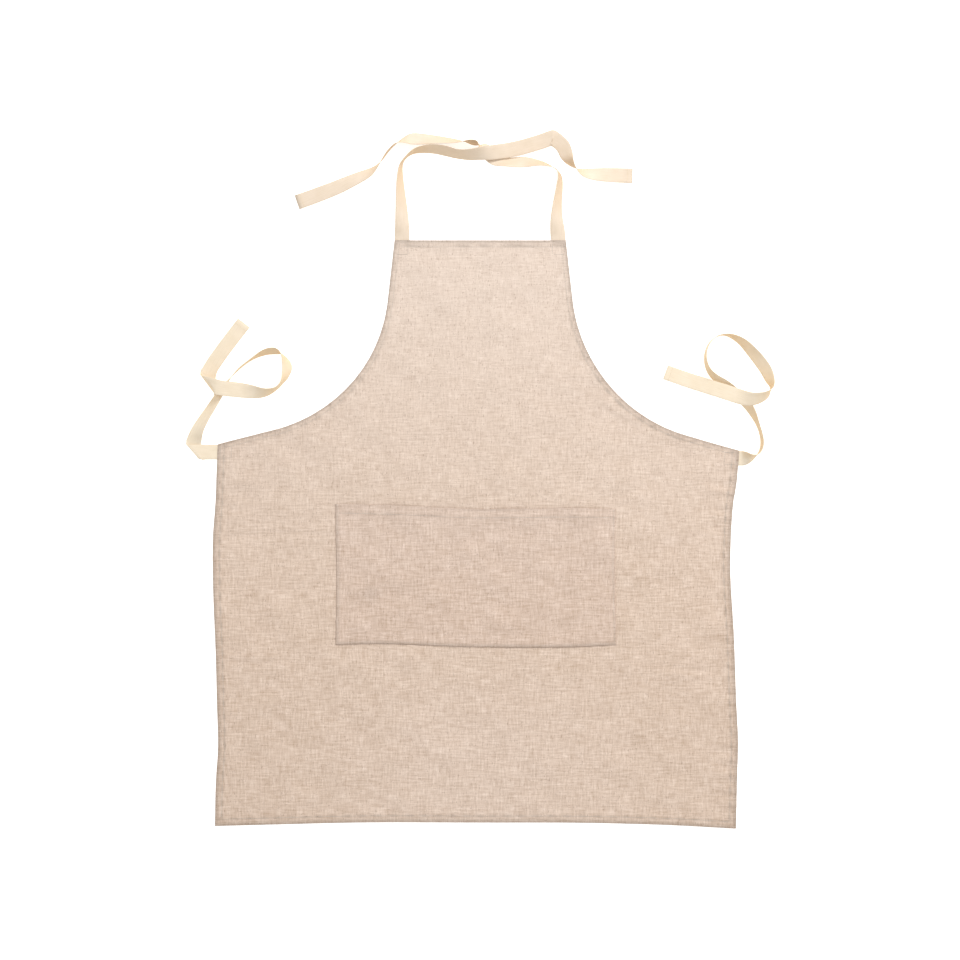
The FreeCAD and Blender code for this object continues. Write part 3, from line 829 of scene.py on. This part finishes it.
stage_and_camera()
linen_cloth = linen("linen", LINEN)
# Painted shade: the pocket's copy of the linen is a little darker, for the doubled cloth lets less light from
# the pale floor through it.
linen_pocket_shaded = linen("linen_pocket_shaded", linear(206, 187, 173), shift=0.613, darker=0.045)
linen_hem = linen("linen_hem", LINEN, shift=0.271, darker=0.03)
neck_tape = twill("cotton_twill_neck", CREAM)
# Painted light: the waist ties get a lighter copy of the same tape colour, for light that the lamps bring
# them too little of.
waist_tape = twill("cotton_twill_waist_painted_light", linear(230, 216, 194))
linen_thread = spun_thread("sewing_thread", linear(196, 186, 174))
cream_thread = spun_thread("cream_thread", linear(225, 205, 175))


# ------------ the ties

# Routes: x, y, how far the tape is rolled about its own line in degrees (0 flat, 90 on edge, 180 face down),
# and the height of its lower edge. FOLD marks the points of a flat fold, where the tape turns over.
FOLD = None
NECK_SHIFT = 5.0
WAIST_LEFT_SHIFT = 3.0
WAIST_RIGHT_SHIFT = -5.0

NECK_TIE_LEFT = [
    (-105, 367.5, 0, 0), (-105, 390, 0, 0), (-104.8, 399, 1, 0), (-104.6, 410, 18, 0), (-105.5, 434, 40, 0),
    (-107, 459, 56, 0), (-107.5, 478, 68, 0), (-106.5, 492.5, 80, 0), (-102, 500.5, 90, 0),
    (-94.5, 508, 86, 0), (-84, 513, 73, 0), (-64, 515, 58, 0), (-45, 511.5, 54, 0), (-32, 507, 60, 1),
    (-14.5, 505.5, 50, 6), (1, 507.3, 38, 10.5), (17, 508.8, 14, 10), (47, 514.2, 7, 3), (80, 524, 5, 1.5),
    (95, 529.3, 4, 3.4), (97.2, 530.2, 4, 4.6), (98.6, 529, 4, 3.4), (104, 525.5, 9, 1), (112, 518, 16, 0),
    (115.5, 507, 28, 0), (120, 497.5, 62, 0), (127.3, 488.5, 92, 0), (138, 482, 128, 0),
    (153, 480.5, 152, 0), (177, 480, 170, 0), (204.5, 479, 180, 0),
]
NECK_TIE_RIGHT = [
    (105, 367.5, 0, 0), (105, 390, 0, 0), (104.7, 397, 0, 0), (103.8, 407, 12, 0), (102.3, 422, 36, 0),
    (103.5, 443, 54, 0), (106.5, 464, 62, 0), (107.5, 479, 74, 0), (102, 488, 88, 0), (87, 494, 70, 0),
    (75, 496, 58, 0), (60, 497, 36, 0), (44, 496.2, 44, 0), (32, 496.8, 48, 0), (22, 499.5, 25, 0),
    (15.5, 505, 10, 0), (9, 511.5, 18, 0), (3.5, 517, 46, 0), (-3.5, 521.5, 102, 0), (-11, 523, 105, 0),
    (-19, 524.3, 90, 0), (-31, 524.3, 68, 0), (-55, 526.5, 54, 0), (-74, 527.5, 40, 0), (-91, 528.5, 28, 0),
    (-102.5, 526, 62, 0), (-113, 522, 88, 0), (-122.5, 513, 90, 0), (-130.5, 501, 90, 0),
    (-138, 491, 76, 0), (-148, 482.5, 50, 0), (-165.5, 475, 32, 0), (-200.5, 459.5, 6, 0),
    (-246, 443.5, 0, 0),
]
WAIST_TIE_LEFT = [
    (-326, 105, 0, 0), (-352, 105, 0, 0), (-368, 105, 0, 1.3), (-377, 104.7, FOLD, 2.2),
    (-382, 105.5, FOLD, 1.3), (-381.5, 110, FOLD, 0.2), (-379.8, 119, 179.5, 0), (-375, 134, 150, 0),
    (-366.5, 148.5, 137, 0), (-357.5, 162, 131, 0), (-349, 175, 126, 0), (-341, 188.5, 124, 0),
    (-334.5, 198.5, 100, 0), (-319, 216.5, 90, 0), (-301, 230, 89, 0), (-283.5, 239.5, 68, 0),
    (-269, 241, 63, 0), (-259.5, 236.5, 94, 0), (-252.5, 220, 133, 0), (-256.5, 205, 112, 0),
    (-260.5, 198, 96, 0), (-268, 189.5, 96, 0), (-284, 183.5, 124, 2), (-303, 186, 156, 10),
    (-321.5, 188, 178, 20), (-337, 189.5, 180, 22), (-350, 192, 180, 20), (-358, 194, FOLD, 11),
    (-361.5, 196.5, FOLD, 4.5), (-361, 201, FOLD, 1.6), (-360.5, 212, 4, 0.2), (-350.5, 228.5, 0, 0),
    (-330.5, 255.5, 0, 0), (-312.5, 278.5, 0, 0),
]
WAIST_TIE_RIGHT = [
    (326, 105, 0, 0), (350, 105, 0, 0), (355.5, 104.7, 2, 0), (362, 104.2, 30, 0), (370, 105.4, 68, 0),
    (377, 109.5, 90, 0), (381.5, 116, 95, 0), (383.3, 126, 96, 0), (381, 139, 95, 0), (377, 150, 97, 0),
    (371.5, 163, 110, 0), (364.5, 175, 121, 0), (352, 188, 124, 0), (334, 203.5, 124, 0),
    (318, 213.5, 112, 0), (308.5, 226, 100, 0), (305.8, 243, 93, 0), (310.5, 258.5, 90, 0),
    (321, 268, 90, 0), (331.5, 270.8, 88, 0), (342.5, 268.6, 77, 0), (356, 261.3, 63, 0),
    (368.5, 248.5, 50, 0), (380, 235, 42, 0), (389, 222, 43, 0), (393.6, 209.5, 55, 0), (396.5, 199, 84, 2),
    (389.5, 189.5, 116, 8), (377, 184.5, 138, 15.5), (365, 183, 154, 20), (351.5, 186.5, 172, 20),
    (335, 192.2, 180, 19.5), (318, 198, 180, 13.5), (301, 204, 180, 4.5), (284, 209.7, 180, 0.5),
    (270, 214.6, 180, 0), (254, 220.4, 180, 0),
]


def spline_points(points):
    """Points along the smooth line that a route of control points makes."""
    curve = bpy.data.curves.new("route", "CURVE")
    curve.dimensions = "3D"
    spline = curve.splines.new("NURBS")
    spline.points.add(len(points) - 1)
    for target, point in zip(spline.points, points):
        target.co = (*point, 1.0)
    spline.order_u = 3
    spline.use_endpoint_u = True
    spline.resolution_u = 14
    holder = bpy.data.objects.new("route", curve)
    bpy.context.scene.collection.objects.link(holder)
    bpy.context.view_layer.update()
    mesh = bpy.data.meshes.new_from_object(holder)
    line = np.array([tuple(v.co) for v in mesh.vertices])
    bpy.data.objects.remove(holder)
    bpy.data.curves.remove(curve)
    bpy.data.meshes.remove(mesh)
    return line


def tape_section():
    """Half width shares and half thickness shares round the tape's section, with rounded selvedges."""
    face_steps = np.linspace(-0.955, 0.955, 9)
    top = [(s, 1.0) for s in face_steps]
    right = [(0.985, 0.72), (1.0, 0.0), (0.985, -0.72)]
    low = [(s, -1.0) for s in face_steps[::-1]]
    left = [(-0.985, -0.72), (-1.0, 0.0), (-0.985, 0.72)]
    return top + right + low + left


def ribbon(name, node, centres, across, through, material):
    """A tape through ring centres, with its width along across and its thickness along through.

    Its end is folded double.
    """
    section = tape_section()
    half_width, half_layer = TAPE_WIDTH / 2, TAPE_LAYER / 2
    walk = walk_along(centres)
    double = 1 + (TAPE_END - 1) * smooth(walk[-1] - END_FOLD[0], walk[-1] - END_FOLD[1], walk)
    centres[:, 2] += half_layer * (double - 1)
    vertices = [centre + wide * (s * half_width) + up * (h * half_layer * more)
                for centre, wide, up, more in zip(centres, across, through, double) for s, h in section]
    sides = len(section)
    piece = new_object(name, vertices, tube_faces(0, len(centres), sides), material, node)
    layer = piece.data.uv_layers.new(name="tape")
    for loop in piece.data.loops:
        ring, k = divmod(loop.vertex_index, sides)
        layer.data[loop.index].uv = ((section[k][0] + 1) * half_width * MM, walk[ring] * MM)
    return piece, walk


def across_vectors(route):
    """The tape's width at each control point: from its middle to its left edge, 1 for half a width."""
    points = np.array([point[:2] for point in route], float)
    legs = unit(np.diff(points, axis=0))
    result = []
    for i, (_, _, roll, _) in enumerate(route):
        if roll is FOLD:
            first = i
            while route[first - 1][2] is FOLD:
                first -= 1
            last = i
            while route[last + 1][2] is FOLD:
                last += 1
            before, after = legs[first - 1], legs[last]
            line = (before + after) / np.linalg.norm(before + after)
            slant = before[0] * -line[1] + before[1] * line[0]
            turned = math.cos(math.radians(route[first - 1][2]))
            line = -line / slant * math.copysign(1.0, turned)
            result.append((line[0], line[1], 0.0))
            continue
        heading = legs[max(i - 1, 0)] + legs[min(i, len(legs) - 1)]
        heading /= np.linalg.norm(heading)
        flat, up = math.cos(math.radians(roll)), math.sin(math.radians(roll))
        result.append((-heading[1] * flat, heading[0] * flat, up))
    return np.array(result)


def make_tie(name, node, route, shift, material):
    dx, dy = shift
    width = across_vectors(route)
    line = spline_points([((x + dx) * MM, (y + dy) * MM, 0.0) for x, y, _, _ in route]) / MM
    across = spline_points(width)
    sizes = np.linalg.norm(width, axis=1)
    size, lift, _ = spline_points([(s, point[3], 0.0) for s, point in zip(sizes, route)]).T
    across *= (size / np.linalg.norm(across, axis=1))[:, None]
    line[:, 2] = lift + TAPE_LAYER / 2 + TAPE_WIDTH / 2 * np.abs(across[:, 2]) + 0.05
    heading = unit(np.gradient(line, axis=0))
    through = unit(np.cross(heading, across))
    piece, walk = ribbon(f"{name}_tape", node, line, across, through, material)
    end = end_stitches(f"{name}_end_stitches", f"{node}_end_thread", line, across, through, walk)


def end_stitches(name, node, line, across, through, walk):
    """A row of short thread beads on each face of the tape, which hold its folded end."""
    middle, wide, up = (np.array([np.interp(walk[-1] - END_SEAM, walk, part[:, k]) for k in range(3)])
                        for part in (line, across, through))
    heading = line[-1] - middle
    heading /= np.linalg.norm(heading)
    vertices, faces = [], []
    count = 7
    for sign in (1.0, -1.0):
        for k in range(count):
            faces += tube_faces(len(vertices), 5, THREAD_SIDES)
            for along, deep, fat in ((0.10, -0.22, 0.12), (0.28, 0.02, 0.25), (0.5, 0.10, 0.28),
                                     (0.72, 0.02, 0.25), (0.90, -0.22, 0.12)):
                share = -0.86 + 1.72 * (k + along) / count
                centre = middle + wide * share * (TAPE_WIDTH / 2)
                centre = centre + up * sign * (TAPE_LAYER * TAPE_END / 2 + deep)
                for a in range(THREAD_SIDES):
                    angle = 2 * math.pi * a / THREAD_SIDES
                    point = centre + heading * (math.cos(angle) * fat) + up * (math.sin(angle) * fat * 0.8)
                    vertices.append((point[0], point[1], max(point[2], LAYER_GAP)))
    return new_object(name, vertices, faces, cream_thread, node)


TIES = (
    ("neck", "left", NECK_TIE_LEFT, (NECK_SHIFT, 0.0), -100.0, TOP, neck_tape),
    ("neck", "right", NECK_TIE_RIGHT, (NECK_SHIFT, 0.0), 110.0, TOP, neck_tape),
    ("waist", "left", WAIST_TIE_LEFT, (0.0, WAIST_LEFT_SHIFT), -HALF_WIDTH, 108.0, waist_tape),
    ("waist", "right", WAIST_TIE_RIGHT, (0.0, WAIST_RIGHT_SHIFT), HALF_WIDTH, 100.0, waist_tape),
)
for where, side, route, shift, exit_x, exit_y, tape in TIES:
    make_tie(f"{where}_{side}", f"{where}_tie_{side}", route, shift, tape)


# ------------ the panel, its hems and their seams

def near_tie(points):
    """1 where the outline has a tie's tab under it and no hem."""
    x, y = np.abs(points[:, 0]), points[:, 1]
    neck = (y > TOP - 27) & (x > HALF_BIB - TAPE_WIDTH - 2) & (x < HALF_BIB + 4)
    waist = (x > HALF_WIDTH - 26) & (y > SHOULDER - TAPE_WIDTH - 2) & (y < SHOULDER + 8)
    return neck | waist


def broken(value):
    """From 0 to 1 and back, for a mark that comes and goes along a seam."""
    return 0.5 + 0.5 * np.sin(value)


def panel_painted_shade(x, y):
    """Painted shade along the hems' folded rims and rows of stitches, most along the right armhole, and a
    little over the hem bands.
    """
    edge = edge_distance(x, y)
    inside, along = armhole_place(x, y)
    total = 0.95 * smooth(2.8, 0.8, edge) + 0.16 * smooth(SEAM + 1, SEAM - 2, edge)
    patchy = broken(along / 4.1 + 1.4 * np.sin(along / 11.0))
    arm = bell(inside - ARMHOLE_SEAM, 1.8) * smooth(60, 160, along) * smooth(430, 300, along)
    total = total + np.where(y > SHOULDER - 20, arm * patchy * np.where(x > 0, 1.0, 0.55), 0.0)
    side = bell(HALF_WIDTH - np.abs(x) - SEAM, 1.7) * (y < SHOULDER) * broken(y / 2.9 + np.sin(y / 31))
    foot = bell(y - BOTTOM - SEAM, 1.7) * broken(x / 3.1 + np.sin(x / 37))
    head = bell(TOP - y - SEAM + 2, 2.2) * broken(x / 7.0 + 2 * np.sin(x / 19))
    return np.clip(total + 0.85 * side + 0.7 * foot + 0.75 * head, 0, 1)


def pocket_painted_shade(x, y):
    # Painted shade along the pocket's folded rims, most on the left and the bottom, away from the light, and
    # along the mouth; a darker broken row along the mouth's seam; and one darker spot.
    edge = np.minimum(POCKET_HALF - np.abs(x), y - POCKET_FOOT)
    mouth = POCKET_MOUTH - y
    row = bell(mouth - MOUTH_HEM + 1, 1.7) * broken(x / 6.1 + 2 * np.sin(x / 23))
    spot = 0.5 * np.exp(-((x + 143) / 15) ** 2 - ((y + 82) / 9) ** 2)
    side = np.where(x > 0, 0.25, 0.6)
    side = np.where(y - POCKET_FOOT < 2.4, 0.8, side)
    brow = 0.25 + 0.5 * bell(x - 25, 45)
    rim = side * smooth(2.4, 0.6, edge) + brow * smooth(2.4, 0.6, mouth)
    return np.clip(rim + 0.55 * row + spot, 0, 1)


def make_panel():
    outline = panel_outline()
    drop = np.where(near_tie(outline), CLOTH, CLOTH + HEM_LAYER)
    for _ in range(2):
        drop = (np.roll(drop, 1) + drop + np.roll(drop, -1)) / 3
    return cloth_piece("panel_cloth", outline, cloth_height, lay, drop, panel_painted_shade, linen_cloth,
                       "apron_panel")


def make_hems():
    """The turned edges under the panel."""
    made = []

    def strip(name, outer, inner, node):
        made.append(turned_edge(name, outer, inner, cloth_height, lay, HEM_LAYER, node))

    tab = HALF_BIB - TAPE_WIDTH - 1
    wide = HALF_WIDTH - HEM_START
    strip("bib_hem_fold", level(tab, TOP - HEM_START), level(tab, TOP - HEM_WIDTH), "bib_hem")
    strip("bottom_hem_fold", level(wide, BOTTOM + HEM_START), level(wide, BOTTOM + HEM_WIDTH), "bottom_hem")
    low, high = BOTTOM + HEM_WIDTH + 0.3, side_hem_high[1]
    outer, inner = armhole(HEM_START, TAB_CLEAR), armhole(ARMHOLE_HEM, TAB_CLEAR)
    last = len(outer) - 1
    inner = inner[[round(i * (len(inner) - 1) / last) for i in range(last + 1)]]
    for side, sign in SIDES:
        strip(f"side_hem_fold_{side}", upright(sign * wide, low, high),
              upright(sign * (HALF_WIDTH - HEM_WIDTH), low, high), f"side_hem_{side}")
        strip(f"armhole_hem_fold_{side}", outer * (sign, 1), inner * (sign, 1), f"armhole_hem_{side}")
    return made


def face(x, y):
    return cloth_height(x, y) + CLOTH / 2


def hem_back(x, y):
    return np.maximum(cloth_height(x, y) - CLOTH / 2 - HEM_LAYER, 0.05)


def make_seams():
    """Sewing threads on the face, and the same rows on the back."""
    rows = [
        ("bib_hem", "bib_hem_thread", level(HALF_BIB - ARMHOLE_SEAM - 2, TOP - SEAM)),
        ("bottom_hem", "bottom_hem_thread", level(HALF_WIDTH - SEAM - 1, BOTTOM + SEAM)),
    ]
    for side, sign in SIDES:
        rows.append((f"side_hem_{side}", f"side_hem_thread_{side}",
                     upright(sign * (HALF_WIDTH - SEAM), BOTTOM + SEAM + 3, SHOULDER - 4)))
        rows.append((f"armhole_{side}", f"armhole_thread_{side}", armhole(ARMHOLE_SEAM, 4) * (sign, 1)))
    for name, node, line in rows:
        stitches(f"{name}_stitches", [line], face, lay, node)
        stitches(f"{name}_stitches_back", [line], hem_back, lay)


panel = make_panel()
hems = make_hems()
make_seams()


# ------------ the pocket

def pocket_place(x, y):
    return lay(*pocket_lay(x, y))


def pocket_face(x, y):
    return pocket_height(x, y) + CLOTH / 2


def panel_back(x, y):
    return np.maximum(cloth_height(x, y) - CLOTH / 2, 0.05)


def make_pocket():
    outline = outline_of([level(POCKET_HALF, POCKET_FOOT),
                          upright(POCKET_HALF, POCKET_FOOT, POCKET_MOUTH),
                          level(-POCKET_HALF, POCKET_MOUTH),
                          upright(-POCKET_HALF, POCKET_MOUTH, POCKET_FOOT)])
    mouth = outline[:, 1] > POCKET_MOUTH - 1
    drop = np.where(mouth, 2 * CLOTH, 3 * CLOTH)
    piece = cloth_piece("pocket_cloth", outline, pocket_height, pocket_place, drop, pocket_painted_shade, linen_pocket_shaded,
                        "pocket_panel")

    def strip(name, outer, inner, thickness, node):
        return turned_edge(name, outer, inner, pocket_height, pocket_place, thickness, node)

    reach = POCKET_HALF - TURNING
    twice = 2 * CLOTH - 0.1
    low, high = POCKET_FOOT + HEM_START, POCKET_MOUTH - HEM_START
    parts = [
        strip("pocket_mouth_fold", level(reach, high), level(reach, POCKET_MOUTH - MOUTH_HEM), CLOTH,
              "pocket_mouth_hem"),
        strip("pocket_fold_bottom", level(reach, low), level(reach, POCKET_FOOT + TURNING), twice,
              "pocket_turning_bottom"),
    ]
    for side, sign in SIDES:
        parts.append(strip(f"pocket_fold_{side}", upright(sign * (POCKET_HALF - HEM_START), low, high),
                           upright(sign * reach, low, high), twice, f"pocket_turning_{side}"))

    edge, foot, top = POCKET_HALF - POCKET_SEAM, POCKET_FOOT + POCKET_SEAM, POCKET_MOUTH - 1
    sewn = [upright(-edge, top, foot), level(edge, foot), upright(edge, foot, top)]
    stitches("pocket_stitches", sewn, pocket_face, pocket_place, "pocket_thread")
    hemmed = [level(edge - 1, POCKET_MOUTH - MOUTH_HEM + 1)]
    stitches("pocket_mouth_stitches", hemmed, pocket_face, pocket_place, "pocket_mouth_thread")
    stitches("pocket_stitches_back", sewn, panel_back, pocket_place)
    return piece, parts


pocket, pocket_hems = make_pocket()


def make_tacks():
    """A box of stitches holds each tie's tab."""
    tab_middle = 105.0
    for side, sign in SIDES:
        x, low, high = sign * (HALF_BIB - 10.0), TOP - 19, TOP - 4
        neck = [(x - 8, high), (x + 8, high), (x + 8, low), (x - 8, low), (x - 8, high)]
        edge, low, high = sign * (HALF_WIDTH - 4), tab_middle - 8, tab_middle + 8
        inner = edge - sign * 15
        waist = [(edge, high), (edge, low), (inner, low), (inner, high), (edge, high)]
        for where, box in (("neck", neck), ("waist", waist)):
            rows = [spaced(start, end) for start, end in zip(box, box[1:])]
            stitches(f"{where}_{side}_tack_stitches", rows, face, lay, f"{where}_tie_{side}_tack", pitch=2.4)


make_tacks()
